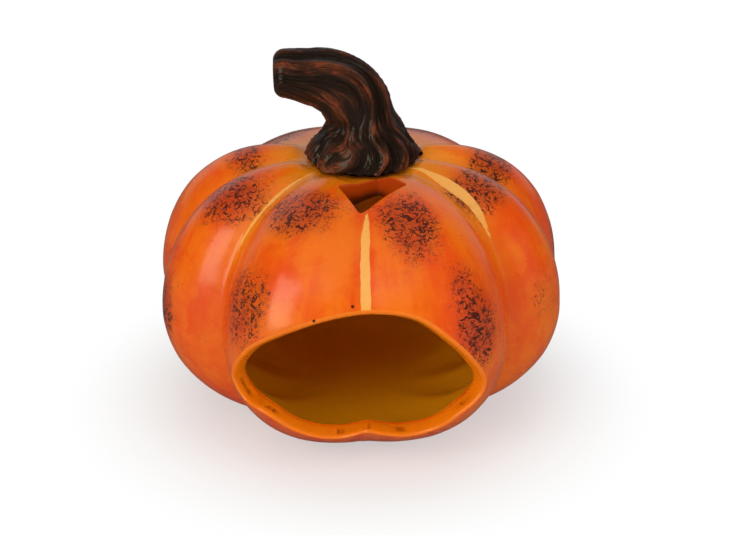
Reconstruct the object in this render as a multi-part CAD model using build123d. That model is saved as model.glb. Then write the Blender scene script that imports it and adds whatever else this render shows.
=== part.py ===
"""Hollow ceramic pumpkin lantern: ribbed shell, stem, and the cement bed between them.

Millimetres. +Z is up and -Y is the face with the mouth.
The origin is the centre of the flat foot, on the surface the pumpkin stands on.
"""
from build123d import *
from math import asin, cos, degrees, radians, sin
import os

# ---------------------------------------------------------------- driving dimensions
# Ribbed body. It is widest at the girth, and closes onto a small ring at each pole.
girth_radius = 80.0         # plain lobe, at the widest level
ring_radius = 17.7          # ring that the lobes curl into, at the poles
shoulder_rise = 55.7        # widest level up to the top of the lobes
belly_drop = 55.3           # widest level down to where the lobes would close
shoulder_fullness = 0.78    # 1 is an ellipse, less is squarer
belly_fullness = 1.15
foot_trim = 3.0             # cut off the closed bottom, which leaves the flat foot

# Ribs. Azimuth is 0 at the front and grows towards +X.
groove_azimuths = (-121.3, -87.0, -48.5, 1.7, 53.8, 89.3, 120.4, 180.0)
front_groove = 1.7          # the shallow groove that runs from the vent to the mouth
groove_depth = 9.0          # below the plain girth
groove_dip = 3.1            # how far a groove lies below its lobes at the shoulder
front_groove_depth = 4.8    # below the crest of the two front lobes
front_groove_dip = 2.4
front_swell = 5.9           # how far the two front lobes stand proud of the girth
side_swell = 2.4
rear_sink = 3.5             # how far the two back lobes lie below the others at the shoulder
rib_roundness = 2.04        # how evenly a lobe curves from crest to groove

# Wall
wall = 7.0                  # girth, shoulder and roof
floor_thickness = 6.0       # inside floor above the foot
inner_rib_share = 0.9       # inside ribs, as a share of the outside ribs

# Mouth, drawn on an upright plane at the girth and cut towards the body's centre
mouth_half_width = 60.0
mouth_rise = 24.3           # above the widest level
mouth_drop = 43.0           # below it

# Vent, cut straight down just in front of the stem
vent_width = 25.5
vent_length = 25.0
vent_corner = 1.5
vent_centre_x = 4.8

# Stem and its seat
seat_radius = 20.0          # flat on the crown
seat_sink = 3.0             # seat below the top of the lobes
cement_thickness = 1.6
cement_margin = 1.5         # bare ring of seat around the cement
stem_height = 44.0          # stem foot to the highest ridge
skirt_radius = 23.0         # flared foot of the stem
neck_radius = 13.2
tip_radius = 9.2
stem_reach = 31.0           # how far the blunt tip leans towards -X
ridge_count = 8
ridge_share = 0.085         # ridge height as a share of the local radius
stem_twist = 35.0           # degrees the ridges turn from foot to tip
vent_gap = 0.8              # wall left between the seat and the vent

# ---------------------------------------------------------------- places worked out from them
centre_z = belly_drop - foot_trim
crown_z = centre_z + shoulder_rise
seat_z = crown_z - seat_sink
stem_foot_z = seat_z + cement_thickness


def positive_power(value, power):
    """A power of a value that rounding may have taken just below nothing."""
    return max(value, 0.0) ** power


def lobe_span(lobe):
    """Azimuths of the two grooves of one lobe, the second always the larger."""
    start = groove_azimuths[lobe]
    end = groove_azimuths[(lobe + 1) % len(groove_azimuths)]
    return start, end if end > start else end + 360


def rib_offsets(lobe, share):
    """Radius offset and height dip at a share of the way across one lobe."""
    start, end = lobe_span(lobe)
    swell = side_swell
    sink = 0.0
    if front_groove in (start, end):
        swell = front_swell
    elif start == groove_azimuths[-1] or end == groove_azimuths[-1]:
        swell = 0.0
        sink = rear_sink
    depth = groove_depth
    dip = groove_dip
    if (start if share < 0.5 else end) == front_groove:
        depth = front_groove_depth - front_swell
        dip = front_groove_dip
    fall = abs(2 * share - 1) ** rib_roundness
    return swell - (swell + depth) * fall, sink + (dip - sink) * fall


def rib_point(lobe, share, latitude, inset):
    """Point on the outside (inset 0) or the inside (inset = wall) of one lobe."""
    start, end = lobe_span(lobe)
    azimuth = radians(start + share * (end - start))
    swell, dip = rib_offsets(lobe, share)
    if inset > 0:
        swell *= inner_rib_share
        dip *= inner_rib_share
    level = radians(latitude)
    above = latitude > 0
    fullness = shoulder_fullness if above else belly_fullness
    rise = (shoulder_rise if above else belly_drop) - inset
    flat = positive_power(cos(level), fullness)
    radius = ring_radius + (girth_radius - inset - ring_radius) * flat
    radius += swell * positive_power(cos(level), 0.5)
    height = centre_z + rise * sin(level)
    if above:
        height -= dip * sin(level)
    return Vector(radius * sin(azimuth), -radius * cos(azimuth), height)


def rib_section(latitude, inset):
    """Scalloped wire round the body: one curved edge for each lobe."""
    steps = 6                       # spans along each edge
    edges = []
    for lobe in range(len(groove_azimuths)):
        points = [rib_point(lobe, i / steps, latitude, inset) for i in range(steps + 1)]
        edges.append(Edge.make_spline(points))
    return Wire(edges)


def ring_section(radius, height):
    """Plain circle split at the grooves, so that it matches a scalloped wire edge for edge."""
    edges = []
    for lobe in range(len(groove_azimuths)):
        start, end = lobe_span(lobe)
        points = []
        for azimuth in (start, (start + end) / 2, end):
            a = radians(azimuth)
            points.append(Vector(radius * sin(a), -radius * cos(a), height))
        edges.append(Edge.make_three_point_arc(*points))
    return Wire(edges)


def latitude_of(depth_below_girth, drop):
    """Latitude where the belly has come down by this much."""
    return -degrees(asin(depth_below_girth / drop))


def ribbed_solid(inset, bottom_z, top_radius, top_z):
    """Body bounded by scalloped sections, flat below at bottom_z and flat above at top_z."""
    low = latitude_of(centre_z - bottom_z, belly_drop - inset)
    below = [low * k for k in (1.0, 0.8, 0.6, 0.4, 0.2)]
    above = [0.0, 16.0, 32.0, 47.0, 60.0, 71.0, 80.0]
    wires = [rib_section(level, inset) for level in below + above]
    wires.append(ring_section(top_radius, top_z))
    return Solid.make_loft(wires)


def mouth_cutter():
    """Cone from the body's centre out through the mouth's outline."""
    reach = 1.4                     # the cone goes well past the outside
    plane_y = -girth_radius * reach

    def on_plane(across, up):
        tall = mouth_rise if up > 0 else mouth_drop
        x = across * mouth_half_width * reach
        return Vector(x, plane_y, centre_z + up * tall * reach)

    # shares of the half width, and of the rise or the drop
    right_lip = [(0.06, -0.84), (0.20, -0.91), (0.38, -0.98), (0.57, -0.88), (0.72, -0.64),
                 (0.86, -0.50), (0.92, -0.38), (0.89, -0.20), (0.77, 0.04), (0.60, 0.47),
                 (0.36, 0.91), (0.07, 1.00)]
    left_lip = [(0.07, 1.00), (-0.27, 0.86), (-0.66, 0.44), (-0.87, 0.0), (-1.0, -0.24),
                (-1.04, -0.40), (-0.91, -0.56), (-0.73, -0.56), (-0.60, -0.63),
                (-0.49, -0.80), (-0.33, -0.95), (-0.17, -1.00), (-0.05, -0.93), (0.06, -0.84)]
    ends = Vector(-1, 0, 0)
    right = Edge.make_spline([on_plane(*p) for p in right_lip], tangents=[Vector(1, 0, -0.25), ends])
    left = Edge.make_spline([on_plane(*p) for p in left_lip], tangents=[ends, Vector(1, 0, 0.8)])
    return Solid.make_loft([Vertex(0, 0, centre_z), Wire([right, left])], True)


def vent_cutter():
    """Kite with rounded corners and its point to the front, cut down through the roof."""
    back = -(seat_radius + vent_gap)
    middle = back - 0.42 * vent_length
    left = vent_centre_x - vent_width / 2
    corners = [(left, middle), (vent_centre_x + 2.5, back), (left + vent_width, middle + 1.0),
               (vent_centre_x - 4.8, back - vent_length)]
    outline = make_face(Polyline(*corners, close=True))
    outline = fillet(outline.vertices(), vent_corner)
    bottom = crown_z - 3 * wall
    return extrude(Pos(0, 0, bottom) * outline, 4 * wall)


def make_shell():
    """Slip-cast body: outside less inside, with the mouth and the vent cut through."""
    outside = ribbed_solid(0.0, 0.0, seat_radius, seat_z)
    inside = ribbed_solid(wall, floor_thickness, seat_radius - wall / 2, seat_z - wall)
    return outside - inside - mouth_cutter() - vent_cutter()


def make_cement():
    """Thin round bed that fixes the stem to the crown's flat seat."""
    disc = Solid.make_cylinder(seat_radius - cement_margin, cement_thickness)
    return disc.moved(Location((0, 0, seat_z)))


def stem_section(centre, lean, radius, turn, depth):
    """Closed ridged wire across the stem. lean is the tilt from upright towards -X."""
    tilt = radians(lean)
    across = Vector(cos(tilt), 0, sin(tilt))
    along_y = Vector(0, 1, 0)
    points = []
    for i in range(2 * ridge_count):
        angle = radians(180 * i / ridge_count + turn)
        r = radius * (1 + depth if i % 2 == 0 else 1 - depth)
        points.append(centre + across * (r * cos(angle)) + along_y * (r * sin(angle)))
    return Wire([Edge.make_spline(points, periodic=True)])


def make_stem():
    """Stubby ridged stalk: a flared foot, a waist and a blunt tip bent over to one side."""
    rise = stem_height - tip_radius * (1 + ridge_share)
    neck = neck_radius
    flare = skirt_radius / (1 + ridge_share) - neck
    taper = neck - tip_radius
    # share of the reach, share of the rise, lean, radius, share of the ridge height
    stations = [(-0.03, -0.04, 0, seat_radius - 1.5, 0.5),
                (-0.04, 0.07, 0, neck + flare, 1.0),
                (-0.04, 0.23, 0, neck + 0.62 * flare, 1.0),
                (-0.03, 0.35, 2, neck + 0.26 * flare, 1.0),
                (0.00, 0.49, 8, neck, 1.0),
                (0.06, 0.64, 22, neck, 1.0),
                (0.22, 0.83, 45, neck - 0.10 * taper, 1.0),
                (0.47, 0.95, 68, neck - 0.45 * taper, 1.0),
                (0.75, 0.98, 84, neck - 0.75 * taper, 0.9),
                (1.00, 1.00, 94, tip_radius, 0.7)]
    wires = []
    for reach, up, lean, radius, ridge in stations:
        centre = Vector(-reach * stem_reach, 0, stem_foot_z + up * rise)
        wires.append(stem_section(centre, lean, radius, up * stem_twist, ridge * ridge_share))
    stalk = Solid.make_loft(wires)
    return split(stalk, bisect_by=Plane.XY.offset(stem_foot_z), keep=Keep.TOP)


def main():
    os.makedirs("parts", exist_ok=True)
    export_step(make_shell(), "parts/pumpkin_shell.step")
    export_step(make_cement(), "parts/stem_cement.step")
    export_step(make_stem(), "parts/stem.step")


main()
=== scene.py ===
# %% [markdown]
# # A glazed ceramic pumpkin lantern
#
# The real object is a hollow, slip-cast pumpkin with eight ribs, a wide mouth, a small vent and a dark
# ridged stem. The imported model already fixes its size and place. This lesson builds the looks around it:
# two skins and a rounded rim for the shell, a grained stalk, and the glazes that cover them.

# %% Load the fixed frame
from math import cos, pi, radians, sin

import bpy
import numpy as np
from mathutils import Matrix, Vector, kdtree, noise


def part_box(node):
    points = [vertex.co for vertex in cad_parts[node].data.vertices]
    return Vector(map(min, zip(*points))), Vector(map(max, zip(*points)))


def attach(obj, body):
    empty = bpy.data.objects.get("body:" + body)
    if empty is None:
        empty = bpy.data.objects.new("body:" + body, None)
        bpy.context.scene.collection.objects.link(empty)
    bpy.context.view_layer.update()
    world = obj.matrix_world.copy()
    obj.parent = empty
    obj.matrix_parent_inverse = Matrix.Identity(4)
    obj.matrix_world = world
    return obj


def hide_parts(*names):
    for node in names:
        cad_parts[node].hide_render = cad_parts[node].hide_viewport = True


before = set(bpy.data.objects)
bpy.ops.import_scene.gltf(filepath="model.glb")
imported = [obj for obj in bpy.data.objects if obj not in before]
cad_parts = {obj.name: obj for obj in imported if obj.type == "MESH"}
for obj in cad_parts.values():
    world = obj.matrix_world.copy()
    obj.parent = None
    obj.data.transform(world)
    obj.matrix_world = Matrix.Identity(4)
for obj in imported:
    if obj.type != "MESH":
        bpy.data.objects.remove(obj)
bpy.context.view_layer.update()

MM = 0.001
shell_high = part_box("pumpkin_shell")[1]
stem_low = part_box("stem")[0]
cement_low, cement_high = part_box("stem_cement")

# %% [markdown]
# ## Helpers
#
# Blender's operators act on whatever is selected, so each step starts by deselecting everything. Faces and
# edges are then picked by their place. The same could be written out each time, but these few helpers keep
# the later cells short.

# %% Selection and modifier helpers


def only(piece):
    """Leave just this object selected and active, in object mode."""
    if bpy.context.object and bpy.context.object.mode != "OBJECT":
        bpy.ops.object.mode_set(mode="OBJECT")
    bpy.ops.object.select_all(action="DESELECT")
    piece.select_set(True)
    bpy.context.view_layer.objects.active = piece


def name_new(name):
    """Name the primitive that was just added, and its mesh."""
    piece = bpy.context.object
    piece.name = name
    piece.data.name = name
    return piece


def points_of(piece):
    """All vertex places as one array."""
    places = np.empty(len(piece.data.vertices) * 3)
    piece.data.vertices.foreach_get("co", places)
    return places.reshape(-1, 3)


def set_points(piece, places):
    """Write the vertex places back."""
    piece.data.vertices.foreach_set("co", np.asarray(places, dtype=float).ravel())
    piece.data.update()


def apply_modifier(piece, kind, **settings):
    """Add a modifier, set it up and apply it."""
    only(piece)
    modifier = piece.modifiers.new(kind.title(), kind)
    for key, value in settings.items():
        setattr(modifier, key, value)
    bpy.ops.object.modifier_apply(modifier=modifier.name)


def edit(piece, mode="VERT"):
    """Go into edit mode with nothing selected, picking vertices or faces."""
    only(piece)
    bpy.ops.object.mode_set(mode="EDIT")
    bpy.ops.mesh.select_mode(type=mode)
    bpy.ops.mesh.select_all(action="DESELECT")


def select_vertices(piece, chosen):
    """From edit mode: select these vertices and nothing else, and stay in edit mode."""
    bpy.ops.mesh.select_mode(type="VERT")
    bpy.ops.mesh.select_all(action="DESELECT")
    bpy.ops.object.mode_set(mode="OBJECT")
    piece.data.vertices.foreach_set("select", np.asarray(chosen, dtype=bool))
    bpy.ops.object.mode_set(mode="EDIT")


def picked(piece):
    """Indices of the selected vertices, read in object mode."""
    flags = np.empty(len(piece.data.vertices), dtype=bool)
    piece.data.vertices.foreach_get("select", flags)
    return np.nonzero(flags)[0]


def set_attribute(piece, name, values):
    """Store one number per vertex, for the materials to read."""
    layer = piece.data.attributes.get(name) or piece.data.attributes.new(name, "FLOAT", "POINT")
    layer.data.foreach_set("value", np.asarray(values, dtype=np.float32))


# %% [markdown]
# ## The ribbed form
#
# A slip-cast pumpkin is a squashed ball whose radius swells between its grooves. One formula gives both
# skins of the wall, so the thickness stays even. Azimuth is 0 at the front (-Y) and grows towards +X;
# latitude runs from -90 at the bottom to 90 where the lobes curl in under the stem.

# %% Sizes of the body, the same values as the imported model
GIRTH = 80 * MM
RING = 17.7 * MM
RISE = 55.7 * MM
DROP = 55.3 * MM
FOOT_TRIM = 3 * MM
CENTRE_Z = DROP - FOOT_TRIM
WALL = 7 * MM
FLOOR = 6 * MM
SEAT_RADIUS = 20 * MM
SEAT_Z = cement_low[2]
INNER_SHARE = 0.9
ROUNDNESS = 2.04
GROOVES = np.array([-180, -121.3, -87, -48.5, 1.7, 53.8, 89.3, 120.4, 180])
SWELL = np.array([0, 2.4, 2.4, 5.9, 5.9, 2.4, 2.4, 0]) * MM
SINK = np.array([3.5, 0, 0, 0, 0, 0, 0, 3.5]) * MM
FRONT_GROOVE = 4                 # the shallow groove above the mouth lies 4.8 mm below its 5.9 mm lobes
DEPTH = np.array([9, 9, 9, 9, 4.8 - 5.9, 9, 9, 9, 9]) * MM
DIP = np.array([3.1, 3.1, 3.1, 3.1, 2.4, 3.1, 3.1, 3.1, 3.1]) * MM
GROOVE_FLAT = np.array([0.7, 0.7, 0.7, 0.7, 1.5, 0.9, 0.7, 0.7, 0.7]) * MM
GROOVE_SOFT = 0.8 * MM
FLAT_ABOVE = 0.78                # below 1 the shoulders are fuller than a ball's, above 1 leaner
FLAT_BELOW = 1.15
SLOW_WAVE = 0.28                 # millimetres
QUICK_WAVE = 0.10
print("crown at", round((CENTRE_Z + RISE) / MM, 1), "mm, packed shell reaches", round(shell_high[2] / MM, 1))

# %% The rib formula


def lobe_place(azimuth):
    """Lobe index, nearer groove, share across, and the lobe's angle, for azimuths in degrees."""
    turned = (np.asarray(azimuth, dtype=float) + 180) % 360 - 180
    lobe = np.clip(np.searchsorted(GROOVES, turned, side="right") - 1, 0, len(SWELL) - 1)
    span = GROOVES[lobe + 1] - GROOVES[lobe]
    share = (turned - GROOVES[lobe]) / span
    return lobe, lobe + (share >= 0.5), share, span


def hand_waves(azimuth, latitude):
    """Slow unevenness that hand finishing leaves in the form, in metres."""
    a = np.radians(azimuth)
    b = np.radians(latitude)
    slow = np.sin(3 * a + 2.1 * b + 0.4) * np.sin(2.3 * b + 1.1) + 0.6 * np.sin(7 * a - 3 * b)
    quick = np.sin(17 * a + 5 * b) * np.sin(13 * b - 4 * a + 0.7)
    return (SLOW_WAVE * slow + QUICK_WAVE * quick) * MM


def body_points(azimuth, latitude, inset):
    """Points of the outside (inset 0) or the inside (inset is the wall)."""
    azimuth, latitude = np.broadcast_arrays(np.asarray(azimuth, float), np.asarray(latitude, float))
    level = np.radians(latitude)
    above = latitude > 0
    flat = np.maximum(np.cos(level), 0) ** np.where(above, FLAT_ABOVE, FLAT_BELOW)
    radius = RING + (GIRTH - inset - RING) * flat
    lobe, near, share, span = lobe_place(azimuth)
    width = np.radians(span) * radius
    edge = np.minimum(share, 1 - share) * width
    soft = GROOVE_SOFT if inset == 0 else 4 * GROOVE_SOFT
    edge = np.maximum(edge - GROOVE_FLAT[near], 0)
    edge = np.sqrt(edge ** 2 + soft ** 2) - soft
    fall = np.clip(1 - 2 * edge / width, 0, 1) ** ROUNDNESS
    ribs = 1.0 if inset == 0 else INNER_SHARE
    swell = ribs * (SWELL[lobe] - (SWELL[lobe] + DEPTH[near]) * fall)
    radius = radius + swell * np.sqrt(np.maximum(np.cos(level), 0)) + hand_waves(azimuth, latitude)
    dip = ribs * (SINK[lobe] + (DIP[near] - SINK[lobe]) * fall)
    height = CENTRE_Z + (np.where(above, RISE, DROP) - inset) * np.sin(level)
    height = height - np.where(above, dip * np.sin(level), 0)
    turn = np.radians(azimuth)
    return np.stack([radius * np.sin(turn), -radius * np.cos(turn), height], axis=-1)


def smooth_step(low, high, value):
    """0 below low, 1 above high, and an even curve between."""
    x = np.clip((value - low) / (high - low), 0, 1)
    return x * x * (3 - 2 * x)


def settle(points, inset):
    """Flatten the foot (or the inside floor) and the seat under the stem."""
    x, y, z = points[..., 0], points[..., 1], points[..., 2]
    radius = np.hypot(x, y)
    ground = 0.0 if inset == 0 else FLOOR
    soft = 1.2 * MM if inset == 0 else 6 * MM
    lowest = -FOOT_TRIM + inset - ground
    lift = 0.5 * (z - ground + np.sqrt((z - ground) ** 2 + soft ** 2))
    lift = lift - 0.5 * (lowest + np.sqrt(lowest ** 2 + soft ** 2))
    z = ground + np.maximum(lift, 0)
    seat = SEAT_Z - inset
    grip = smooth_step(SEAT_RADIUS + 0.3 * MM, SEAT_RADIUS + 8 * MM, radius)
    high = z > CENTRE_Z
    z = np.where(high, seat + (z - seat) * grip, z)
    return np.stack([x, y, z], axis=-1)


# %% [markdown]
# ## Two skins
#
# Each skin starts as a UV sphere. Its columns are moved so that they crowd together beside the grooves,
# where the form turns quickly, and then every point goes to its place on the ribs. That is quicker and
# truer than sculpting, and it keeps the columns running along the grooves, so the creases stay clean.

# %% Spread the sphere's columns and rows over the ribs
COLUMNS_PER_LOBE = 30
COLUMNS = COLUMNS_PER_LOBE * len(SWELL)
CROWDING = 0.65                  # 0 spreads the columns evenly, 1 crowds them most
OUTSIDE_RINGS = 150
INSIDE_RINGS = 90


def column_azimuths():
    """Azimuth of each column, crowded towards the grooves."""
    steps = np.arange(COLUMNS_PER_LOBE) / COLUMNS_PER_LOBE
    share = CROWDING * (1 - np.cos(pi * steps)) / 2 + (1 - CROWDING) * steps
    return np.concatenate([GROOVES[i] + share * (GROOVES[i + 1] - GROOVES[i]) for i in range(len(SWELL))])


def make_skin(name, inset, rings):
    """UV sphere laid over the ribs at this inset from the outside."""
    bpy.ops.object.select_all(action="DESELECT")
    bpy.ops.mesh.primitive_uv_sphere_add(segments=COLUMNS, ring_count=rings, radius=GIRTH,
                                         location=(0, 0, CENTRE_Z))
    skin = name_new(name)
    only(skin)
    bpy.ops.object.transform_apply(location=True, rotation=True, scale=True)
    places = points_of(skin) - [0, 0, CENTRE_Z]
    pole = np.hypot(places[:, 0], places[:, 1]) < 1e-6
    turn = np.degrees(np.arctan2(places[:, 0], -places[:, 1]))
    column = np.round((turn + 180) * COLUMNS / 360).astype(int) % COLUMNS
    latitude = np.degrees(np.arcsin(np.clip(places[:, 2] / GIRTH, -1, 1)))
    laid = settle(body_points(column_azimuths()[column], latitude, inset), inset)
    laid[pole, :2] = 0
    set_points(skin, laid)
    return skin


outside = make_skin("pumpkin_body", 0.0, OUTSIDE_RINGS)
inside = make_skin("inside_skin", WALL, INSIDE_RINGS)
print("outside", len(outside.data.vertices), "points, inside", len(inside.data.vertices))

# %% [markdown]
# ## Outlines of the mouth and the vent
#
# The potter cuts both openings with a knife while the clay is soft. The mouth's outline is drawn on an
# upright plane at the girth and cut towards the body's centre. The vent is a small kite, cut straight down.
# Both are closed smooth curves through a few points.

# %% Closed curves through a few points
MOUTH_HALF_WIDTH = 60 * MM
MOUTH_RISE = 24.3 * MM
MOUTH_DROP = 43 * MM
MOUTH_SHAPE = [(0.06, -0.84), (0.20, -0.91), (0.38, -0.98), (0.57, -0.88), (0.72, -0.64), (0.86, -0.50),
               (0.92, -0.38), (0.89, -0.20), (0.77, 0.04), (0.60, 0.47), (0.36, 0.91), (0.07, 1.00),
               (-0.27, 0.86), (-0.66, 0.44), (-0.87, 0.0), (-1.0, -0.24), (-1.04, -0.40),
               (-0.91, -0.56), (-0.73, -0.56), (-0.60, -0.63), (-0.49, -0.80), (-0.33, -0.95),
               (-0.17, -1.00), (-0.05, -0.93)]
VENT_X = 4.8 * MM
VENT_WIDTH = 25.5 * MM
VENT_LENGTH = 25 * MM
VENT_BACK = -SEAT_RADIUS - 0.8 * MM
PER_SPAN = 24
MOUTH_STEPS = 480
VENT_STEPS = 200


def closed_curve(points, per_span, corners=False):
    """Smooth closed curve (Catmull-Rom) or straight-sided outline through the points."""
    points = np.asarray(points, float)
    t = np.arange(per_span)[:, None] / per_span
    spans = []
    for i in range(len(points)):
        a, b, c, d = (points[(i + k) % len(points)] for k in (-1, 0, 1, 2))
        if corners:
            spans.append(b + (c - b) * t)
        else:
            spans.append(0.5 * (2 * b + (c - a) * t + (2 * a - 5 * b + 4 * c - d) * t ** 2
                                + (3 * b - a - 3 * c + d) * t ** 3))
    return np.concatenate(spans)


def even_steps(curve, count):
    """The same closed curve with its points a step apart."""
    ring = np.vstack([curve, curve[:1]])
    length = np.concatenate([[0], np.cumsum(np.linalg.norm(np.diff(ring, axis=0), axis=1))])
    at = np.arange(count) / count * length[-1]
    return np.stack([np.interp(at, length, ring[:, k]) for k in (0, 1)], axis=1)


def relax(curve, rounds):
    """Round a closed curve's corners a little."""
    for _ in range(rounds):
        curve = 0.25 * np.roll(curve, 1, axis=0) + 0.5 * curve + 0.25 * np.roll(curve, -1, axis=0)
    return curve


def outward(curve, rounds):
    """Unit vectors pointing out of a closed curve, evened out along it."""
    along = np.roll(curve, -1, axis=0) - np.roll(curve, 1, axis=0)
    normal = np.stack([along[:, 1], -along[:, 0]], axis=1)
    area = np.sum(curve[:, 0] * np.roll(curve[:, 1], -1) - np.roll(curve[:, 0], -1) * curve[:, 1])
    normal = relax(normal / np.linalg.norm(normal, axis=1)[:, None] * np.sign(area), rounds)
    return normal / np.linalg.norm(normal, axis=1)[:, None]


# %% The two outlines
mouth_points = [(a * MOUTH_HALF_WIDTH, u * (MOUTH_RISE if u > 0 else MOUTH_DROP)) for a, u in MOUTH_SHAPE]
mouth_line = relax(even_steps(closed_curve(mouth_points, PER_SPAN), MOUTH_STEPS), 6)
vent_left = VENT_X - VENT_WIDTH / 2
vent_middle = VENT_BACK - 0.42 * VENT_LENGTH
vent_points = [(vent_left, vent_middle), (VENT_X - 4 * MM, VENT_BACK - 4.2 * MM),
               (VENT_X + 2.5 * MM, VENT_BACK), (vent_left + VENT_WIDTH, vent_middle + 1 * MM),
               (VENT_X - 4.8 * MM, VENT_BACK - VENT_LENGTH)]
vent_line = relax(even_steps(closed_curve(vent_points, PER_SPAN, corners=True), VENT_STEPS), 10)
OUTLINES = {"mouth": (mouth_line, outward(mouth_line, 14)), "vent": (vent_line, outward(vent_line, 5))}
LIP = {"mouth": 1.9 * MM, "vent": 0.7 * MM}
print("mouth", np.ptp(mouth_line, axis=0) / MM, "vent", np.ptp(vent_line, axis=0) / MM)

# %% [markdown]
# ## Cutting the skins
#
# Each outline becomes a solid cutter: a circle is laid on the outline, extruded and scaled towards the
# body's centre (the mouth) or straight down (the vent), and taken away from the skin with a Boolean. Its
# own faces are then deleted, which leaves a clean open edge to build the rounded rim from.

# %% Cutters
CUT_REACH = 1.35                 # the mouth's cutter runs between these shares of the girth
CUT_ROOT = 0.35
VENT_CUT_TOP = SEAT_Z + 3 * WALL
VENT_CUT_DEPTH = 6 * WALL
MERGE_GAP = 0.01 * MM
cut_mark = bpy.data.materials.new("cut_mark")


def make_cutter(opening):
    """Solid cutter, wider than the opening by the rim's rounding."""
    line, normal = OUTLINES[opening]
    ring = line + normal * LIP[opening]
    bpy.ops.object.select_all(action="DESELECT")
    bpy.ops.mesh.primitive_circle_add(vertices=len(ring), radius=GIRTH, fill_type="NGON")
    cutter = name_new(opening + "_cutter")
    if opening == "mouth":
        front = np.stack([ring[:, 0], np.full(len(ring), -GIRTH), ring[:, 1]], axis=1)
        near = front * CUT_REACH + [0, 0, CENTRE_Z]
        far = front * CUT_ROOT + [0, 0, CENTRE_Z]
    else:
        near = np.column_stack([ring, np.full(len(ring), VENT_CUT_TOP)])
        far = near - [0, 0, VENT_CUT_DEPTH]
    set_points(cutter, near)
    edit(cutter)
    bpy.ops.mesh.select_all(action="SELECT")
    bpy.ops.mesh.extrude_region()
    bpy.ops.object.mode_set(mode="OBJECT")
    places = points_of(cutter)
    moved = picked(cutter)
    finder = kdtree.KDTree(len(near))
    for i, place in enumerate(near):
        finder.insert(place, i)
    finder.balance()
    places[moved] = [far[finder.find(places[i])[1]] for i in moved]
    set_points(cutter, places)
    edit(cutter)
    bpy.ops.mesh.select_all(action="SELECT")
    bpy.ops.mesh.normals_make_consistent(inside=False)
    bpy.ops.object.mode_set(mode="OBJECT")
    cutter.data.materials.append(cut_mark)
    return cutter


cutters = [make_cutter(opening) for opening in OUTLINES]


def cut_skin(skin):
    """Take both cutters away from a skin, and delete the faces they leave behind."""
    skin_mark = bpy.data.materials.new(skin.name + "_mark")
    skin.data.materials.append(skin_mark)
    for cutter in cutters:
        apply_modifier(skin, "BOOLEAN", object=cutter, operation="DIFFERENCE", solver="EXACT",
                       material_mode="TRANSFER")
    slots = [m.name for m in skin.data.materials]
    marked = np.empty(len(skin.data.polygons), dtype=int)
    skin.data.polygons.foreach_get("material_index", marked)
    edit(skin, "FACE")           # face mode, or the faces' own flags would be ignored
    bpy.ops.object.mode_set(mode="OBJECT")
    skin.data.polygons.foreach_set("select", marked == slots.index(cut_mark.name))
    bpy.ops.object.mode_set(mode="EDIT")
    bpy.ops.mesh.delete(type="FACE")
    bpy.ops.mesh.select_all(action="SELECT")
    bpy.ops.mesh.remove_doubles(threshold=MERGE_GAP)
    bpy.ops.object.mode_set(mode="OBJECT")
    skin.data.materials.clear()


cut_skin(outside)
cut_skin(inside)
for cutter in cutters:
    bpy.data.objects.remove(cutter)
print("after the cuts:", len(outside.data.polygons), "and", len(inside.data.polygons), "faces")

# %% [markdown]
# ## The rim
#
# A sponge rounds the cut edge before firing, and glaze softens it more. A Bevel modifier is another way.
# Here each open edge is extruded in rows, so that the rounding is the same all along, grooves included: a
# quarter round into the cut, and then the flat of the cut. The two sides are bridged half way through the
# wall, where the surface is flat and the join can't be seen.

# %% Place on either skin along a direction, or above a plan position
QUARTER = [0.25, 0.5, 0.75, 1.0]
FLAT = 0.42                      # share of the wall where each side's rows stop
VENT_ABOVE = CENTRE_Z + 0.5 * RISE
HALVINGS = 40


def solve(test, low, high):
    """Latitude where a falling test crosses nothing, by halving."""
    low = np.array(low, float)
    high = np.array(high, float)
    for _ in range(HALVINGS):
        middle = (low + high) / 2
        rising = test(middle) > 0
        low = np.where(rising, middle, low)
        high = np.where(rising, high, middle)
    return (low + high) / 2


def on_skin(opening, spot, inset):
    """Skin point behind each outline spot."""
    if opening == "mouth":
        azimuth = np.degrees(np.arctan2(spot[:, 0], GIRTH))
        slope = spot[:, 1] / np.hypot(spot[:, 0], GIRTH)

        def short(latitude):
            p = body_points(azimuth, latitude, inset)
            return slope * np.hypot(p[:, 0], p[:, 1]) - (p[:, 2] - CENTRE_Z)

        latitude = solve(short, np.full(len(spot), -85.0), np.full(len(spot), 85.0))
        return settle(body_points(azimuth, latitude, inset), inset)
    azimuth = np.degrees(np.arctan2(spot[:, 0], -spot[:, 1]))
    reach = np.hypot(spot[:, 0], spot[:, 1])

    def wide(latitude):
        p = body_points(azimuth, latitude, inset)
        return np.hypot(p[:, 0], p[:, 1]) - reach

    latitude = solve(wide, np.full(len(spot), 10.0), np.full(len(spot), 89.9))
    return settle(body_points(azimuth, latitude, inset), inset)


def spot_of(opening, place):
    """Where on the outline's own plane a point lies."""
    if opening == "mouth":
        share = GIRTH / -place[:, 1]
        return np.stack([place[:, 0] * share, (place[:, 2] - CENTRE_Z) * share], axis=1)
    return place[:, :2]


def along_outline(opening, spots):
    """Fractional index along the outline nearest to each spot."""
    line, normal = OUTLINES[opening]
    ring = line + normal * LIP[opening]
    step = np.roll(ring, -1, axis=0) - ring
    found = np.empty(len(spots))
    for i, spot in enumerate(spots):
        share = np.clip(np.sum((spot - ring) * step, axis=1) / np.sum(step ** 2, axis=1), 0, 1)
        gap = np.sum((ring + step * share[:, None] - spot) ** 2, axis=1)
        best = int(np.argmin(gap))
        found[i] = best + share[best]
    return found


def at_index(curve, index):
    """Point of a closed curve at a fractional index."""
    low = np.floor(index).astype(int)
    share = (index - low)[:, None]
    return curve[low % len(curve)] * (1 - share) + curve[(low + 1) % len(curve)] * share


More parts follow.
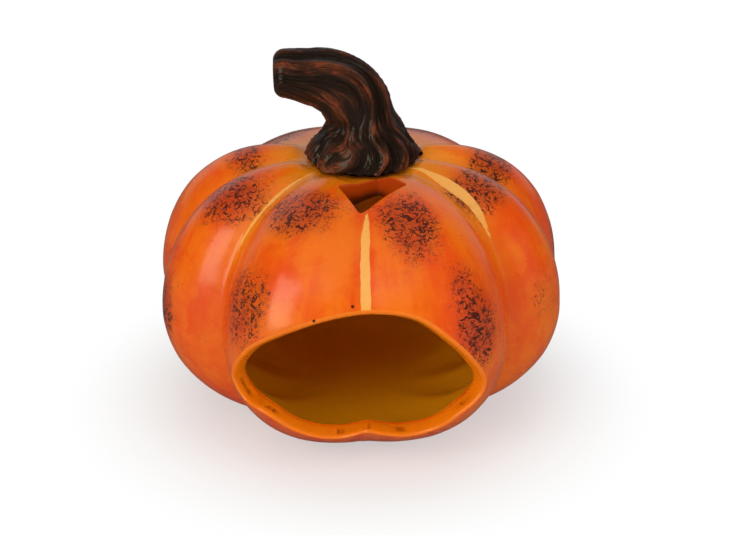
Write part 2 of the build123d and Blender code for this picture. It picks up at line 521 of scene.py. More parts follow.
def rim_place(opening, index, turn, sink, inset):
    """Point of the rim: turn 0 to 1 goes round the lip, sink is then how far into the wall it lies."""
    line, normal = OUTLINES[opening]
    lip = LIP[opening]
    spot = at_index(line, index) + at_index(normal, index) * lip * (1 - sin(turn * pi / 2))
    outer = on_skin(opening, spot, 0.0)
    inner = on_skin(opening, spot, WALL)
    through = inner - outer
    through /= np.linalg.norm(through, axis=1)[:, None]
    depth = lip * (1 - cos(turn * pi / 2)) + sink
    return outer + through * depth if inset == 0 else inner - through * depth


# %% Extrude the rows of each lip


def open_edge(piece, opening):
    """Vertices on the open edge of one opening."""
    edit(piece)
    bpy.ops.mesh.select_non_manifold()
    bpy.ops.object.mode_set(mode="OBJECT")
    rim = picked(piece)
    high = points_of(piece)[rim][:, 2] > VENT_ABOVE
    return rim[high] if opening == "vent" else rim[~high]


def grow_lip(skin, opening, inset):
    """Extrude one open edge round its lip and into the wall."""
    rim = open_edge(skin, opening)
    places = points_of(skin)
    index_at = along_outline(opening, spot_of(opening, places[rim]))
    rows = [(turn, 0.0) for turn in QUARTER] + [(1.0, FLAT * WALL)]
    for turn, sink in rows:
        finder = kdtree.KDTree(len(rim))
        for i, vertex in enumerate(rim):
            finder.insert(places[vertex], i)
        finder.balance()
        chosen = np.zeros(len(places), dtype=bool)
        chosen[rim] = True
        edit(skin)
        select_vertices(skin, chosen)
        bpy.ops.mesh.select_mode(type="EDGE")
        bpy.ops.mesh.extrude_region()
        bpy.ops.mesh.select_mode(type="VERT")
        bpy.ops.object.mode_set(mode="OBJECT")
        new = picked(skin)
        places = points_of(skin)
        order = [finder.find(places[vertex])[1] for vertex in new]
        index_at = index_at[order]
        places[new] = rim_place(opening, index_at, turn, sink, inset)
        set_points(skin, places)
        rim = new
    return len(rim)


skin_counts = len(outside.data.vertices), len(inside.data.vertices)
for opening in OUTLINES:
    print(opening, "rim:", grow_lip(outside, opening, 0.0), "points outside,",
          grow_lip(inside, opening, WALL), "inside")

# %% [markdown]
# ## Joining the wall
#
# The inside skin is turned so that its faces look into the chamber, the two are joined, and the rows that
# end inside the wall are bridged. The number per point called zone says what it is: 0 is the glazed
# outside, 1 the cut rim and 2 the chamber.

# %% Zones, and faces that look the right way
for skin, count, base in ((outside, skin_counts[0], 0.0), (inside, skin_counts[1], 2.0)):
    zone = np.full(len(skin.data.vertices), 1.0)
    zone[:count] = base
    set_attribute(skin, "zone", zone)
edit(inside)
bpy.ops.mesh.select_all(action="SELECT")
bpy.ops.mesh.normals_make_consistent(inside=False)
bpy.ops.mesh.flip_normals()
edit(outside)
bpy.ops.mesh.select_all(action="SELECT")
bpy.ops.mesh.normals_make_consistent(inside=False)
print("points of the rim:", len(outside.data.vertices) - skin_counts[0], "outside,",
      len(inside.data.vertices) - skin_counts[1], "inside")

# %% Join and bridge
only(outside)
inside.select_set(True)
bpy.ops.object.join()
shell = outside
for opening in OUTLINES:
    chosen = np.zeros(len(shell.data.vertices), dtype=bool)
    chosen[open_edge(shell, opening)] = True
    edit(shell)
    select_vertices(shell, chosen)
    bpy.ops.mesh.select_mode(type="EDGE")
    bpy.ops.mesh.bridge_edge_loops()
bpy.ops.mesh.select_all(action="DESELECT")
bpy.ops.mesh.select_mode(type="VERT")
bpy.ops.mesh.select_non_manifold()
bpy.ops.object.mode_set(mode="OBJECT")
print("shell has", len(shell.data.polygons), "faces and", len(picked(shell)), "open points")
edit(shell)
bpy.ops.mesh.select_all(action="SELECT")
bpy.ops.mesh.normals_make_consistent(inside=False)
bpy.ops.object.mode_set(mode="OBJECT")
only(shell)
bpy.ops.object.shade_smooth_by_angle(angle=radians(50))


# %% [markdown]
# ## Where the decorator's brush went
#
# The glaze is painted by hand: pale yellow strips run down some grooves, and dark brush patches sit on the
# shoulders. The materials need to know where, so each point stores how far inside a strip it lies (in
# millimetres, negative outside), how strongly a patch covers it, and how far it is from a groove.

# %% Directions of the shell's points from the body's centre
places = points_of(shell)
from_centre = places - [0, 0, CENTRE_Z]
point_azimuth = np.degrees(np.arctan2(places[:, 0], -places[:, 1]))
point_level = np.degrees(np.arctan2(from_centre[:, 2], np.hypot(places[:, 0], places[:, 1])))
plan_radius = np.hypot(places[:, 0], places[:, 1])


def turn_between(a, b):
    """Shortest turn between azimuths, in degrees."""
    return (a - b + 180) % 360 - 180


print("levels from", round(float(point_level.min())), "to", round(float(point_level.max())), "degrees")

# %% Strips: level, azimuth and half width in millimetres along each one
STRIPS = {
    "front": [(16.5, 1.7, 0.6), (17.5, 1.7, 1.9), (30, 1.6, 1.8), (38, 2.0, 1.6), (44, 2.8, 1.1),
              (48, 3.2, 0)],
    "left": [(20, -48, 0), (28, -49, 0.3), (36, -49, 0.65), (46, -49, 0.8), (56, -50, 0.5),
             (66, -51.5, 0.2), (72, -52, 0)],
    "right": [(27, 55, 0), (36, 56.5, 1.0), (42, 57.8, 1.6), (52, 58.5, 2.0), (58, 59.5, 1.2),
              (66, 62, 0.5), (72, 63, 0)],
    "far_right": [(26, 79, 0), (34, 79.5, 0.9), (42, 80, 1.3), (50, 81, 1.0), (60, 83, 0)],
    "far_left": [(24, -92, 0), (36, -85, 0.5), (46, -77, 0.7), (62, -74, 0.6), (70, -72, 0)],
    "rear_left": [(20, -121.5, 0), (42, -121.5, 0.9), (60, -121.5, 0.8), (72, -121.5, 0)],
    "rear_right": [(20, 120.5, 0), (40, 120.5, 1.0), (62, 120.5, 0.8), (72, 120.5, 0)],
    "rear": [(18, 180, 0), (36, 180, 1.1), (58, 180, 1.1), (74, 180, 0)],
}
FAR_OUTSIDE = -20.0              # millimetres, where no strip is near
strip_depth = np.full(len(places), FAR_OUTSIDE)
for steps in STRIPS.values():
    level, azimuth, half = np.array(steps, dtype=float).T
    away = np.abs(turn_between(point_azimuth, np.interp(point_level, level, azimuth)))
    across = np.radians(away) * plan_radius / MM
    wobble = 0.08 * np.sin(point_level * 0.7) + 0.06 * np.sin(point_level * 1.9 + 1)
    depth = np.interp(point_level, level, half, left=FAR_OUTSIDE, right=FAR_OUTSIDE)
    strip_depth = np.maximum(strip_depth, depth + wobble * (depth > 0.3) - across)
set_attribute(shell, "strip", np.clip(strip_depth, -8, 8))
print("strips:", len(STRIPS), "over", int((strip_depth > 0).sum()), "points")

# %% Brush patches: azimuth, level, half size across and up in millimetres, strength
PATCHES = [(-26, 45, 13, 13, 1.0), (-33, 14, 13, 17, 0.62), (-64, 41, 13, 14, 0.9), (-69, 2, 8, 14, 0.9),
           (-98, 48, 14, 9, 0.62), (19, 41, 10.5, 15, 1.0), (32, 10, 10, 16, 0.9), (30, 22, 8, 9, 0.5),
           (66, 45, 13, 12, 0.9), (100, 42, 14, 11, 0.9), (66, 5, 8, 13, 0.35), (-140, 44, 14, 13, 0.9),
           (152, 42, 13, 15, 0.9), (-155, 10, 13, 16, 0.7), (106, 6, 11, 15, 0.7), (-106, -4, 12, 15, 0.6),
           (142, -2, 12, 14, 0.7)]
dab = np.zeros(len(places))
for azimuth, level, wide, tall, strength in PATCHES:
    across = np.radians(turn_between(point_azimuth, azimuth)) * plan_radius / MM / wide
    up = np.radians(point_level - level) * GIRTH / MM / tall
    dab = np.maximum(dab, strength * np.exp(-(across ** 2 + up ** 2) ** 1.3))
set_attribute(shell, "dab", dab)
print("patches:", len(PATCHES), "over", int((dab > 0.3).sum()), "points")

# %% Distance to the nearest groove, except the front one, which has no yellow wash beside it
NO_GROOVE = 20.0                 # millimetres
_, near, share, span = lobe_place(point_azimuth)
groove_gap = np.minimum(share, 1 - share) * np.radians(span) * plan_radius / MM
set_attribute(shell, "groove", np.where(near == FRONT_GROOVE, NO_GROOVE, groove_gap))
print("farthest from a groove:", round(float(groove_gap.max()), 1), "mm")

# %% [markdown]
# ## The stalk
#
# A dried pumpkin stalk flares over the crown, twists as it rises and bends over to a blunt end. Long
# uneven fibres run all the way along it. A curve with a bevel would give the bend but not the fibres. So it
# starts as a circle, extruded row by row, and each row is then laid on the leaning spine, with fibres that
# keep their place round the stalk as it twists.

# %% Spine of the stalk
STEM_FOOT = stem_low[2]
REACH = 31 * MM                  # how far the spine leans to the left
SPINE_RISE = 34.02 * MM
NECK = 13.2 * MM
FLARE = 8.0 * MM
TAPER = 4.0 * MM
TIP = 9.2 * MM
TWIST = 35
TIP_SHORT = 0.33                 # stations left out for the rounded end
# Each station: share of REACH, share of SPINE_RISE, lean in degrees, radius, strength of the fibres
STATIONS = np.array([
    (-0.03, -0.04, 0, 21.2 * MM, 0.9), (-0.04, 0.07, 0, NECK + FLARE, 1),
    (-0.04, 0.23, 0, NECK + 0.62 * FLARE, 1), (-0.03, 0.35, 2, NECK + 0.26 * FLARE, 1),
    (0, 0.49, 8, NECK, 1), (0.06, 0.64, 22, NECK, 1),
    (0.22, 0.83, 45, NECK - 0.10 * TAPER, 1), (0.47, 0.95, 68, NECK - 0.45 * TAPER, 1),
    (0.75, 0.98, 84, NECK - 0.75 * TAPER, 0.9), (1, 1, 94, TIP, 0.7)])


def spine(at):
    """Station values at a fractional station number, on a smooth curve."""
    at = np.clip(np.asarray(at, float), 0, len(STATIONS) - 1.000001)
    i = np.floor(at).astype(int)
    t = (at - i)[:, None]
    last = len(STATIONS) - 1
    a, b = STATIONS[np.maximum(i - 1, 0)], STATIONS[i]
    c, d = STATIONS[i + 1], STATIONS[np.minimum(i + 2, last)]
    return 0.5 * (2 * b + (c - a) * t + (2 * a - 5 * b + 4 * c - d) * t ** 2
                  + (3 * b - a - 3 * c + d) * t ** 3)


# %% Extrude the rows
AROUND = 200
BODY_ROWS = 150
TIP_ROWS = 14
FOOT_ROWS = 6
ROWS = FOOT_ROWS + BODY_ROWS + TIP_ROWS
bpy.ops.object.select_all(action="DESELECT")
bpy.ops.mesh.primitive_circle_add(vertices=AROUND, radius=1.0, fill_type="NOTHING")
stalk = name_new("stalk")
edit(stalk)
bpy.ops.mesh.select_all(action="SELECT")
for _ in range(ROWS - 1):
    bpy.ops.mesh.extrude_region_move(TRANSFORM_OT_translate={"value": (0, 0, 1)})
bpy.ops.object.mode_set(mode="OBJECT")
raw = points_of(stalk)
row = np.round(raw[:, 2]).astype(int)
angle = np.arctan2(raw[:, 1], raw[:, 0])
print("rows:", ROWS, "of", AROUND, "points")

# %% Fibres round the stalk


def smooth_noise(x, y, z):
    """Repeatable smooth noise at many places."""
    return np.array([noise.noise(Vector(p)) for p in zip(x, y, z)])


body_share = np.clip((row - FOOT_ROWS) / BODY_ROWS, 0, 1)
station = body_share * (len(STATIONS) - 1 - TIP_SHORT)
values = spine(station)
turned = angle - radians(TWIST) * values[:, 1]
drift = 0.35 * smooth_noise(np.cos(angle) * 1.1, np.sin(angle) * 1.1, station * 0.35)
fibre = turned + drift
broad = 1 - np.abs(np.sin(4 * fibre + 0.5 * np.sin(fibre))) ** 0.8
fine = 0.35 - 1.6 * np.abs(smooth_noise(np.cos(fibre) * 4.6, np.sin(fibre) * 4.6, station * 0.30 + 7))
hair = 0.35 - 1.6 * np.abs(smooth_noise(np.cos(fibre) * 12, np.sin(fibre) * 12, station * 0.55 + 3))
knots = smooth_noise(np.cos(angle) * 2.2, np.sin(angle) * 2.2, station * 0.9 + 11)
skirt = np.clip(1 - station / 3.0, 0, 1)
relief = 0.075 * (broad - 0.45) + 0.105 * fine + 0.060 * hair + 0.06 * knots
relief = relief * values[:, 4] * (0.8 + 0.5 * skirt)
print("fibre relief", round(float(relief.min()), 3), "to", round(float(relief.max()), 3), "of the radius")

# %% Round the tip and close the foot
EDGE_SHARE = 0.45                # share of the tip's rows that go round its edge
EDGE_SHRINK = 0.42
TIP_BULGE = 4.3 * MM
TIP_HOLLOW = 0.9 * MM
radius = values[:, 3] * (1 + relief)
tip = row - FOOT_ROWS - BODY_ROWS
on_tip = tip > 0
cap = np.clip(tip / (TIP_ROWS - 1), 0, 1)
bend = np.clip(cap / EDGE_SHARE, 0, 1)
round_edge = 1 - EDGE_SHRINK * (1 - np.cos(bend * pi / 2))
end_face = (1 - EDGE_SHRINK) * (1 - (cap - EDGE_SHARE) / (1 - EDGE_SHARE))
shrink = np.where(bend < 1, round_edge, end_face)
radius = np.where(on_tip, radius * np.maximum(shrink, 0), radius)
hollow = TIP_HOLLOW * np.clip((cap - EDGE_SHARE) / 0.35, 0, 1)
along = np.where(on_tip, TIP_BULGE * np.sin(bend * pi / 2) - hollow, 0)
foot_share = np.clip(row / FOOT_ROWS, 0, 1)
radius = np.where(row < FOOT_ROWS, radius * foot_share, radius)
print("radius up to", round(float(radius.max() / MM), 1), "mm")

# %% Lay the rows on the spine
HEM_DROP = 0.9 * MM
lean = np.radians(values[:, 2])
across = radius * np.cos(angle)
x = -values[:, 0] * REACH + across * np.cos(lean) - along * np.sin(lean)
y = radius * np.sin(angle)
z = STEM_FOOT + values[:, 1] * SPINE_RISE + across * np.sin(lean) + along * np.cos(lean)
hem = skirt * (0.5 + 0.5 * np.sin(4 * turned + 1.2) + 0.6 * fine) * HEM_DROP
z = np.maximum(z - hem * (station < 2.2), STEM_FOOT)
z = np.where(row < FOOT_ROWS, STEM_FOOT + (z - STEM_FOOT) * foot_share ** 3, z)
laid = np.stack([x, y, z], axis=1)
set_points(stalk, laid)
edit(stalk)
bpy.ops.mesh.select_all(action="SELECT")
bpy.ops.mesh.remove_doubles(threshold=0.005 * MM)
bpy.ops.mesh.select_all(action="DESELECT")
bpy.ops.mesh.select_non_manifold()
bpy.ops.object.mode_set(mode="OBJECT")
print("open points on the stalk:", len(picked(stalk)), "height", round((z.max() - STEM_FOOT) / MM, 1))
edit(stalk)
bpy.ops.mesh.select_all(action="SELECT")
bpy.ops.mesh.normals_make_consistent(inside=False)
bpy.ops.object.mode_set(mode="OBJECT")

# %% Store the fibres on the points that are left after merging
finder = kdtree.KDTree(len(raw))
for i, place in enumerate(laid):
    finder.insert(place, i)
finder.balance()
source = [finder.find(v.co)[1] for v in stalk.data.vertices]
set_attribute(stalk, "ridge", (relief * 10)[source])
set_attribute(stalk, "fibre_x", (np.cos(fibre) * 10)[source])
set_attribute(stalk, "fibre_y", (np.sin(fibre) * 10)[source])
set_attribute(stalk, "length", station[source])
only(stalk)
bpy.ops.object.shade_smooth()
print("points on the stalk:", len(source))

# %% [markdown]
# ## The cement bed
#
# The stalk is taken to be stuck down with a thin bed of dark cement that squeezes out unevenly. Only a dark
# line of it shows under the skirt, so the plain disc could do. It is cheap to do better: it starts as a
# cylinder, gets a bevelled edge, and its rim is pushed about.

# %% Cement disc
BED_RADIUS = cement_high[0]
BED_DEPTH = cement_high[2] - cement_low[2]
SQUEEZE_ROOM = 0.4 * MM          # room for the uneven rim
bpy.ops.object.select_all(action="DESELECT")
bpy.ops.mesh.primitive_cylinder_add(vertices=128, radius=BED_RADIUS - SQUEEZE_ROOM, depth=BED_DEPTH,
                                    location=(0, 0, (cement_low[2] + cement_high[2]) / 2))
bed = name_new("cement_bed")
only(bed)
bpy.ops.object.transform_apply(location=True, rotation=True, scale=True)
edit(bed, "FACE")
bpy.ops.object.mode_set(mode="OBJECT")
for face in bed.data.polygons:
    face.select = abs(face.normal.z) > 0.9
bpy.ops.object.mode_set(mode="EDIT")
bpy.ops.mesh.inset(thickness=2.5 * MM)
bpy.ops.mesh.inset(thickness=6 * MM)
bpy.ops.object.mode_set(mode="OBJECT")
apply_modifier(bed, "BEVEL", width=0.45 * MM, segments=3, limit_method="ANGLE", angle_limit=radians(50))
spread = points_of(bed)
ring = np.hypot(spread[:, 0], spread[:, 1])
way = np.arctan2(spread[:, 1], spread[:, 0])
push = 0.22 * np.sin(5 * way + 1) + 0.14 * np.sin(11 * way) + 0.06 * np.sin(23 * way + 2)
spread[:, :2] *= (1 + np.where(ring > 0.8 * BED_RADIUS, push * MM / BED_RADIUS, 0))[:, None]
set_points(bed, spread)
only(bed)
bpy.ops.object.shade_smooth_by_angle(angle=radians(40))
print("cement bed", round(BED_DEPTH / MM, 2), "mm deep")

# %% [markdown]
# ## Ties to the imported model
#
# Each piece stands for one imported node, which it hides, and rides on the one body. The packed
# nodes could be shown as they are, but the shell's cut edges are sharp and the stem has coarse ridges only.

# %% Ride and replace
for piece, node, slot in ((shell, "pumpkin_shell", "shell_glaze"), (stalk, "stem", "stem_glaze"),
                          (bed, "stem_cement", "cement")):
    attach(piece, "root")
    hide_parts(node)
for mark in [m for m in bpy.data.materials if m.name.endswith("_mark")]:
    bpy.data.materials.remove(mark)
print("pieces:", shell.name, stalk.name, bed.name)

# %% [markdown]
# ## Writing materials as sums
#
# A finish is easier to read as arithmetic than as a drawing of nodes. A Wire holds one output; adding or
# multiplying wires adds Math nodes. Everything else comes from Tree.node, which takes the kind of node, its
# settings and what goes into its sockets. A Finish is a material's tree, and the world has a tree too.

# %% Wire, Tree and Finish


class Wire:
    """One node output with arithmetic."""

    def __init__(self, tree, socket):
        self.tree = tree
        self.socket = socket

    def math(self, operation, *values):
        """Math node on these values."""
        return self.tree.node("ShaderNodeMath", {"operation": operation}, dict(enumerate(values)))

    def __add__(self, other):
        return self.math("ADD", self, other)

    def __radd__(self, other):
        return self.math("ADD", other, self)

    def __sub__(self, other):
        return self.math("SUBTRACT", self, other)

    def __rsub__(self, other):
        return self.math("SUBTRACT", other, self)

    def __mul__(self, other):
        return self.math("MULTIPLY", self, other)

    def __rmul__(self, other):
        return self.math("MULTIPLY", other, self)

    def __abs__(self):
        return self.math("ABSOLUTE", self)


class Tree:
    """A node tree, of a material or of the world."""

    def __init__(self, nodes_and_links):
        self.nodes = nodes_and_links.nodes
        self.links = nodes_and_links.links

    def node(self, kind, settings=None, values=None, out=0):
        """New node: settings first, then the values or links of its sockets."""
        node = self.nodes.new(kind)
        for key, value in (settings or {}).items():
            setattr(node, key, value)
        for key, value in (values or {}).items():
            self.plug(node.inputs[key], value)
        return Wire(self, node.outputs[out])

    def plug(self, socket, value):
        """Link a wire, or set a constant."""
        if isinstance(value, Wire):
            self.links.new(value.socket, socket)
        else:
            socket.default_value = value

    def first(self, kind):
        """The node of this kind that is there from the start."""
        return next(n for n in self.nodes if n.type == kind)

    def place(self):
        """Object coordinates, in metres."""
        return self.node("ShaderNodeTexCoord", out="Object")

    def number(self, name):
        """A number stored on the points."""
        return self.node("ShaderNodeAttribute", {"attribute_name": name}, out="Fac")

    def noise(self, where, scale, detail=3.0, rough=0.5, warp=0.0):
        """Noise between 0 and 1, scale in cycles a metre."""
        return self.node("ShaderNodeTexNoise", {}, {"Vector": where, "Scale": scale, "Detail": detail,
                                                    "Roughness": rough, "Distortion": warp}, out="Fac")

    def step(self, value, low, high):
        """0 below low and 1 above high, smooth between."""
        return self.node("ShaderNodeMapRange", {"interpolation_type": "SMOOTHSTEP"},
                         {"Value": value, "From Min": low, "From Max": high})

    def blend(self, share, first, second):
        """Mix two colours."""
        colours = [c if isinstance(c, Wire) else (*c, 1.0) for c in (first, second)]
        sockets = {0: share, 6: colours[0], 7: colours[1]}
        return self.node("ShaderNodeMix", {"data_type": "RGBA"}, sockets, out=2)


class Finish(Tree):
    """A material and its nodes."""

    def __init__(self, name, roughness, **constants):
        self.material = bpy.data.materials.new(name)
        self.material.use_nodes = True
        super().__init__(self.material.node_tree)
        self.shader = self.nodes["Principled BSDF"]
        self.shader.inputs["Roughness"].default_value = roughness
        for socket, value in constants.items():
            self.shader.inputs[socket.replace("_", " ")].default_value = value

    def into(self, socket, value):
        """Feed the shader."""
        self.plug(self.shader.inputs[socket], value)

    def bump(self, height, strength, distance):
        """Feed a height, in its own units, to the normal."""
        self.into("Normal", self.node("ShaderNodeBump", {}, {"Strength": strength, "Distance": distance,
                                                             "Height": height}))


# %% [markdown]
# ## The pumpkin's glaze
#
# Orange glaze is sponged over a yellow ground, so it is deeper on the crests and more yellow in the grooves
# and by the stalk. Maroon-black brush marks curl over the shoulders. The chamber is left amber brown, and the
# foot is wiped bare. All of it but the foot is under one clear, slightly wavy, glossy coat. One material with
# blends between its parts is used, not one for each colour, because glazes run into each other.

# %% Colours of the glaze
DEEP_ORANGE = (0.78, 0.068, 0.0)
WARM_ORANGE = (0.86, 0.155, 0.0)
YELLOW_WASH = (0.88, 0.27, 0.008)
OLIVE_WASH = (0.66, 0.20, 0.003)
STRIP_YELLOW = (0.90, 0.42, 0.085)
MAROON = (0.40, 0.040, 0.006)
BRUSH_BLACK = (0.045, 0.006, 0.003)
RIM_ORANGE = (0.92, 0.20, 0.002)
VENT_ORANGE = (0.50, 0.055, 0.002)
# painted shade for the lower part of the vent's cut wall
VENT_PAINTED_SHADE = (0.070, 0.010, 0.001)
AMBER = (0.84, 0.330, 0.004)
# painted light on the chamber floor
PAINTED_LIGHT_AMBER = (0.95, 0.420, 0.004)
UMBER = (0.62, 0.235, 0.003)
BARE_CLAY = (0.62, 0.36, 0.20)

# %% Glaze nodes
glaze = Finish("pumpkin_glaze", 0.3, IOR=1.45, Coat_Roughness=0.14, Coat_IOR=1.45)
where = glaze.place()
zone = glaze.number("zone")
strip = glaze.number("strip")
dab_share = glaze.number("dab")
groove = glaze.number("groove")
height = glaze.node("ShaderNodeSeparateXYZ", {}, {0: where}, out="Z")
flat_place = glaze.node("ShaderNodeVectorMath", {"operation": "MULTIPLY"}, {0: where, 1: (1, 1, 0)})
reach = glaze.node("ShaderNodeVectorMath", {"operation": "LENGTH"}, {0: flat_place}, out="Value")
slow = glaze.noise(where, 22, 2)
cloudy = glaze.noise(where, 70, 4, 0.6, 0.6)
grainy = glaze.noise(where, 420, 3, 0.6)
heading = glaze.node("ShaderNodeVectorMath", {"operation": "NORMALIZE"}, {0: flat_place})
around = glaze.node("ShaderNodeSeparateXYZ", {}, {0: heading})
around_y = glaze.node("ShaderNodeSeparateXYZ", {}, {0: heading}, out="Y")
swept = height * 28 + reach * 16
brushed = glaze.node("ShaderNodeCombineXYZ", {}, {0: around * 9, 1: around_y * 9, 2: swept})
streak = glaze.noise(brushed, 1.6, 4, 0.6, 0.4)
tone = glaze.step(0.40 * slow + 0.25 * cloudy + 0.27 * streak + 0.08 * grainy, 0.41, 0.60)
colour = glaze.blend(tone, DEEP_ORANGE, WARM_ORANGE)

# %% Yellow wash in the grooves and round the stalk
shoulder = glaze.step(height, 0.060, 0.100)
in_groove = 1 - glaze.step(groove + 9 * (cloudy - 0.5) + 14 * (streak - 0.5), 0.3, 8.0)
wash = in_groove * (0.05 + 0.50 * shoulder)
colour = glaze.blend(wash, colour, YELLOW_WASH)
crown = (1 - glaze.step(reach + 0.012 * (cloudy - 0.5) + 0.040 * (streak - 0.5), 0.026, 0.044)) * shoulder
front_half = 1 - glaze.step(glaze.node("ShaderNodeSeparateXYZ", {}, {0: where}, out="Y"), -0.020, 0.004)
colour = glaze.blend(crown * 0.75, colour, glaze.blend(front_half, YELLOW_WASH, OLIVE_WASH))

# %% Brush marks
curl = glaze.noise(where, 210, 1.5, 0.5, 1.5)
thin = glaze.noise(where, 400, 1.5, 0.5, 1.2)
gaps = glaze.step(glaze.noise(where, 420, 2), 0.36, 0.46)
line = 1 - glaze.step(abs(curl - 0.5) - 0.022 * dab_share, 0.008, 0.030)
hair_line = 1 - glaze.step(abs(thin - 0.5) - 0.014 * dab_share, 0.008, 0.034)
breaks = glaze.noise(where, 110, 3, 0.65)
cover = glaze.step(dab_share + 0.9 * (breaks - 0.5), 0.26, 0.56)
light_cover = glaze.step(dab_share + 1.1 * (breaks - 0.5), 0.05, 0.45)
tint = glaze.step(dab_share, 0.05, 0.9)
marks = glaze.node("ShaderNodeClamp", {}, {0: (line * cover + 0.8 * hair_line * light_cover) * gaps})
colour = glaze.blend(tint * 0.7, colour, MAROON)
colour = glaze.blend(marks * 0.93, colour, BRUSH_BLACK)

# %% Strips and rim
painted = glaze.step(strip + 0.5 * (cloudy - 0.5), -0.12, 0.18)
strip_tone = glaze.blend(glaze.step(grainy, 0.62, 0.72) * 0.4, STRIP_YELLOW, YELLOW_WASH)
colour = glaze.blend(painted * 0.95, colour, strip_tone)
cut = glaze.step(zone, 0.35, 0.8)
rim_tone = glaze.blend(glaze.step(cloudy, 0.50, 0.68) * 0.35, RIM_ORANGE, WARM_ORANGE)
# Painted shade: the vent's cut wall fades from dark orange at its lip to near black lower down, towards the
# chamber.
vent_shaded_tone = glaze.blend(glaze.step(height + 0.006 * (cloudy - 0.5), 0.0985, 0.1030), VENT_PAINTED_SHADE, VENT_ORANGE)
colour = glaze.blend(cut, colour, glaze.blend(glaze.step(height, 0.080, 0.086), rim_tone, vent_shaded_tone))

# %% Chamber and foot
chamber_tone = glaze.blend(glaze.step(cloudy, 0.35, 0.7), AMBER, UMBER)
# Painted light: the chamber's floor is a paler amber where light through the mouth falls on it.
chamber_tone = glaze.blend(1 - glaze.step(height, 0.006, 0.034), chamber_tone, PAINTED_LIGHT_AMBER)
chamber = glaze.step(zone, 1.15, 1.9)
colour = glaze.blend(chamber, colour, chamber_tone)
foot = 1 - glaze.step(height + 0.0006 * (cloudy - 0.5), 0.0002, 0.0012)
colour = glaze.blend(foot, colour, BARE_CLAY)

# %% Two pinholes in the glaze above the mouth
PINHOLES = [(-12.0, 15.0), (-2.0, 19.0)]     # azimuth and level in degrees
INSIDE_REACH = 0.9 * GIRTH                   # above the mouth, nearer points are on the inside
for azimuth, level in PINHOLES:
    a, b = radians(azimuth), radians(level)
    aim = np.array([sin(a) * cos(b), -cos(a) * cos(b), sin(b)])
    far_out = np.linalg.norm(from_centre, axis=1)
    best = int(np.argmax(from_centre @ aim / far_out - 10 * (far_out < INSIDE_REACH)))
    spot = tuple(float(v) for v in places[best])
    gap = glaze.node("ShaderNodeVectorMath", {"operation": "DISTANCE"}, {0: where, 1: spot}, out="Value")
    colour = glaze.blend(1 - glaze.step(gap, 0.0004, 0.0008), colour, BRUSH_BLACK)

# %% Into the shader, with the glaze's gloss and orange peel
glaze.into("Base Color", colour)
glaze.into("Roughness", 0.22 + 0.12 * cloudy + 0.12 * marks + 0.30 * foot + 0.12 * chamber)
glaze.into("Coat Weight", 0.45 - 0.4 * foot - 0.3 * chamber * (1 - foot))
peel = glaze.noise(where, 150, 3, 0.6)
glaze.bump(peel * 0.6 + grainy * 0.10 + painted * 0.25 + marks * 0.12, 0.5, 0.0007)
shell.data.materials.append(glaze.material)
print("glaze nodes:", len(glaze.nodes))

# %% [markdown]
# ## The stalk's glaze
#
# The stalk is dipped in near-black brown, and a dry brush of red brown catches its ridges. The fibres keep
# it from looking as glossy as the shell. Plain noise would look like spots here, so the noise is read along
# the fibres, from the numbers stored on the points.

# %% Stalk nodes
STALK_BLACK = (0.018, 0.007, 0.003)
STALK_BROWN = (0.080, 0.019, 0.005)
STALK_RED = (0.25, 0.050, 0.012)
bark = Finish("stalk_glaze", 0.4, IOR=1.4, Coat_Roughness=0.16)
where = bark.place()
ridge = bark.number("ridge")
fibres = bark.node("ShaderNodeCombineXYZ", {}, {0: bark.number("fibre_x"), 1: bark.number("fibre_y"),
                                                2: bark.number("length")})
strands = bark.noise(fibres, 1.7, 4, 0.65, 0.3)
patchy = bark.noise(where, 90, 3, 0.6)
speck = bark.noise(where, 600, 2)
lift = bark.step(ridge + 1.4 * (strands - 0.5), -0.25, 0.55)
tone = bark.blend(lift, STALK_BLACK, STALK_BROWN)
streaks = bark.noise(fibres, 4.5, 3, 0.6)
dry = bark.step(ridge + 2.0 * (strands - 0.5) + 2.2 * (streaks - 0.5) + 2.0 * (patchy - 0.5), 0.20, 0.95)
tone = bark.blend(dry * 0.85, tone, STALK_RED)
bark.into("Base Color", tone)
bark.into("Roughness", 0.42 + 0.25 * patchy)
bark.into("Coat Weight", 0.45 * (1 - dry))
bark.bump(strands * 1.0 + streaks * 0.6 + speck * 0.12, 1.0, 0.0014)
stalk.data.materials.append(bark.material)
print("stalk nodes:", len(bark.nodes))

# %% Cement nodes
grit = Finish("dark_cement", 0.8)
where = grit.place()
lumps = grit.noise(where, 700, 4, 0.7)
grit.into("Base Color", grit.blend(lumps, (0.015, 0.010, 0.008), (0.05, 0.03, 0.02)))
grit.bump(lumps, 0.6, 0.0004)
bed.data.materials.append(grit.material)
print("finishes:", [m.name for m in bpy.data.materials])

# %% [markdown]
# ## Floor, light and camera
#
# A pale floor that fades into a white background keeps the object's soft shadow. The camera sees it mixed
# with white, so the shadow looks lighter than it is. A warm softbox stands in front on the left and makes the
# highlights. Three neutral lamps fill from above, the front and the right, and don't show in the gloss. What
# the gloss mirrors is kept dark at the front and pale at the back, as in a photographer's tent.

# %% Floor
bpy.ops.object.select_all(action="DESELECT")
bpy.ops.mesh.primitive_plane_add(size=6)
floor = name_new("floor")
paper = Finish("floor_paper", 0.9)
PAPER = (0.86, 0.86, 0.86, 1)
WHITE = (1, 1, 1, 1)
paper.into("Base Color", PAPER)
where = paper.place()
away = paper.node("ShaderNodeVectorMath", {"operation": "LENGTH"}, {0: where}, out="Value")
ray = paper.node("ShaderNodeLightPath", out="Is Camera Ray")
glossy_ray = paper.node("ShaderNodeLightPath", out="Is Glossy Ray")
glow = paper.node("ShaderNodeEmission", {}, {0: WHITE, 1: 1.0})
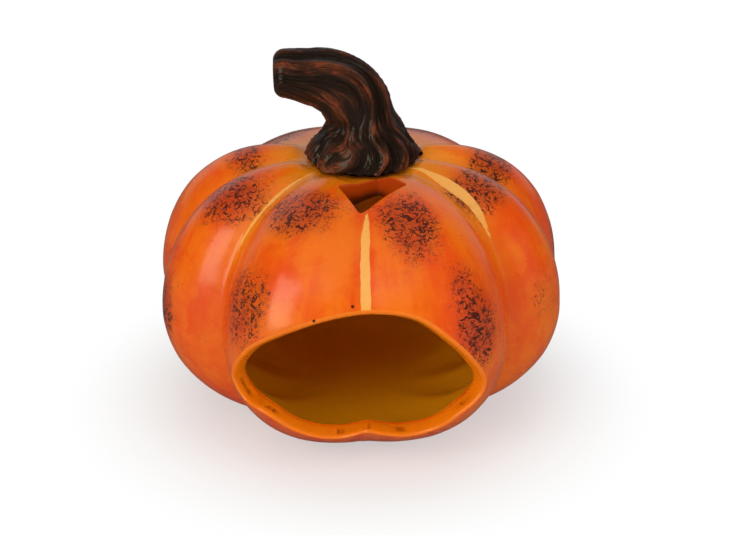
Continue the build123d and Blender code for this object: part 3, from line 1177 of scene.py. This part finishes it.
# Painted reflection: glossy rays see the floor as a faint glow, so the glaze mirrors it dark, as if it lay in
# shade.
dim = paper.node("ShaderNodeEmission", {}, {0: WHITE, 1: 0.04})
lit = Wire(paper, paper.shader.outputs[0])
fade = (0.50 + 0.50 * paper.step(away, 0.060, 0.125)) * ray
plain = paper.node("ShaderNodeMixShader", {}, {0: glossy_ray * 0.85, 1: lit, 2: dim})
mixed = paper.node("ShaderNodeMixShader", {}, {0: fade, 1: plain, 2: glow})
paper.plug(paper.first("OUTPUT_MATERIAL").inputs[0], mixed)
paper.shader.inputs["Specular IOR Level"].default_value = 0.1
floor.data.materials.append(paper.material)
print("floor:", floor.name, "with", floor.data.materials[0].name)

# %% World
world = bpy.data.worlds.new("studio")
bpy.context.scene.world = world
world.use_nodes = True
world.cycles.sampling_method = "NONE"    # sampled as a lamp, it would ignore the Light Path levels below
sky = Tree(world.node_tree)
back = sky.first("BACKGROUND")
AMBIENT = 0.31
direction = sky.node("ShaderNodeTexCoord", out="Generated")
behind = sky.node("ShaderNodeSeparateXYZ", {}, {0: direction}, out="Y")
seen = sky.node("ShaderNodeLightPath", out="Is Camera Ray")
mirrored = sky.node("ShaderNodeLightPath", out="Is Glossy Ray")
through = sky.node("ShaderNodeLightPath", out="Is Transmission Ray")
glossy_level = 0.01 + 0.45 * sky.step(behind, 0.28, 0.85)
level = AMBIENT * (1 - seen - mirrored - through) + seen + through + mirrored * glossy_level
sky.plug(back.inputs["Strength"], level)
back.inputs["Color"].default_value = WHITE
print("ambient level", AMBIENT)

# %% Lamps
BODY_MIDDLE = Vector((0, 0, 0.055))


def lamp(name, azimuth, level, distance, width, tall, power, glossy=True):
    """Softbox facing the body, azimuth as on the body."""
    a, b = radians(azimuth), radians(level)
    spot = BODY_MIDDLE + distance * Vector((sin(a) * cos(b), -cos(a) * cos(b), sin(b)))
    bpy.ops.object.light_add(type="AREA", location=spot)
    box = bpy.context.object
    box.name = name
    box.data.shape = "RECTANGLE"
    box.data.size = width
    box.data.size_y = tall
    box.data.energy = power
    box.rotation_euler = (BODY_MIDDLE - spot).to_track_quat("-Z", "Y").to_euler()
    box.visible_glossy = glossy
    return box


key = lamp("key_softbox", -40, 22, 1.0, 0.46, 0.74, 3.6)
key.data.color = (1.0, 0.91, 0.68)
lamp("top_fill", 0, 78, 1.1, 1.2, 1.2, 4.0, glossy=False)
lamp("front_fill", -8, 42, 1.1, 0.5, 0.4, 1.8, glossy=False)
lamp("right_fill", 60, 14, 1.1, 0.8, 0.8, 3.4, glossy=False)

# %% Camera
VIEW_TILT = radians(26.17)
VIEW_DISTANCE = 0.880
LENS = 104.8
FRAME_SHIFT = (0.0200, 0.0148)
target = Vector((0, 0, CENTRE_Z))
spot = target + VIEW_DISTANCE * Vector((0, -cos(VIEW_TILT), sin(VIEW_TILT)))
bpy.ops.object.camera_add(location=spot)
camera = bpy.context.object
camera.rotation_euler = (target - spot).to_track_quat("-Z", "Y").to_euler()
camera.data.lens = LENS
camera.data.shift_x, camera.data.shift_y = FRAME_SHIFT
camera.data.clip_start = 0.01
bpy.context.scene.camera = camera
bpy.context.scene.view_settings.view_transform = "Standard"
print("camera at", [round(v, 3) for v in spot])
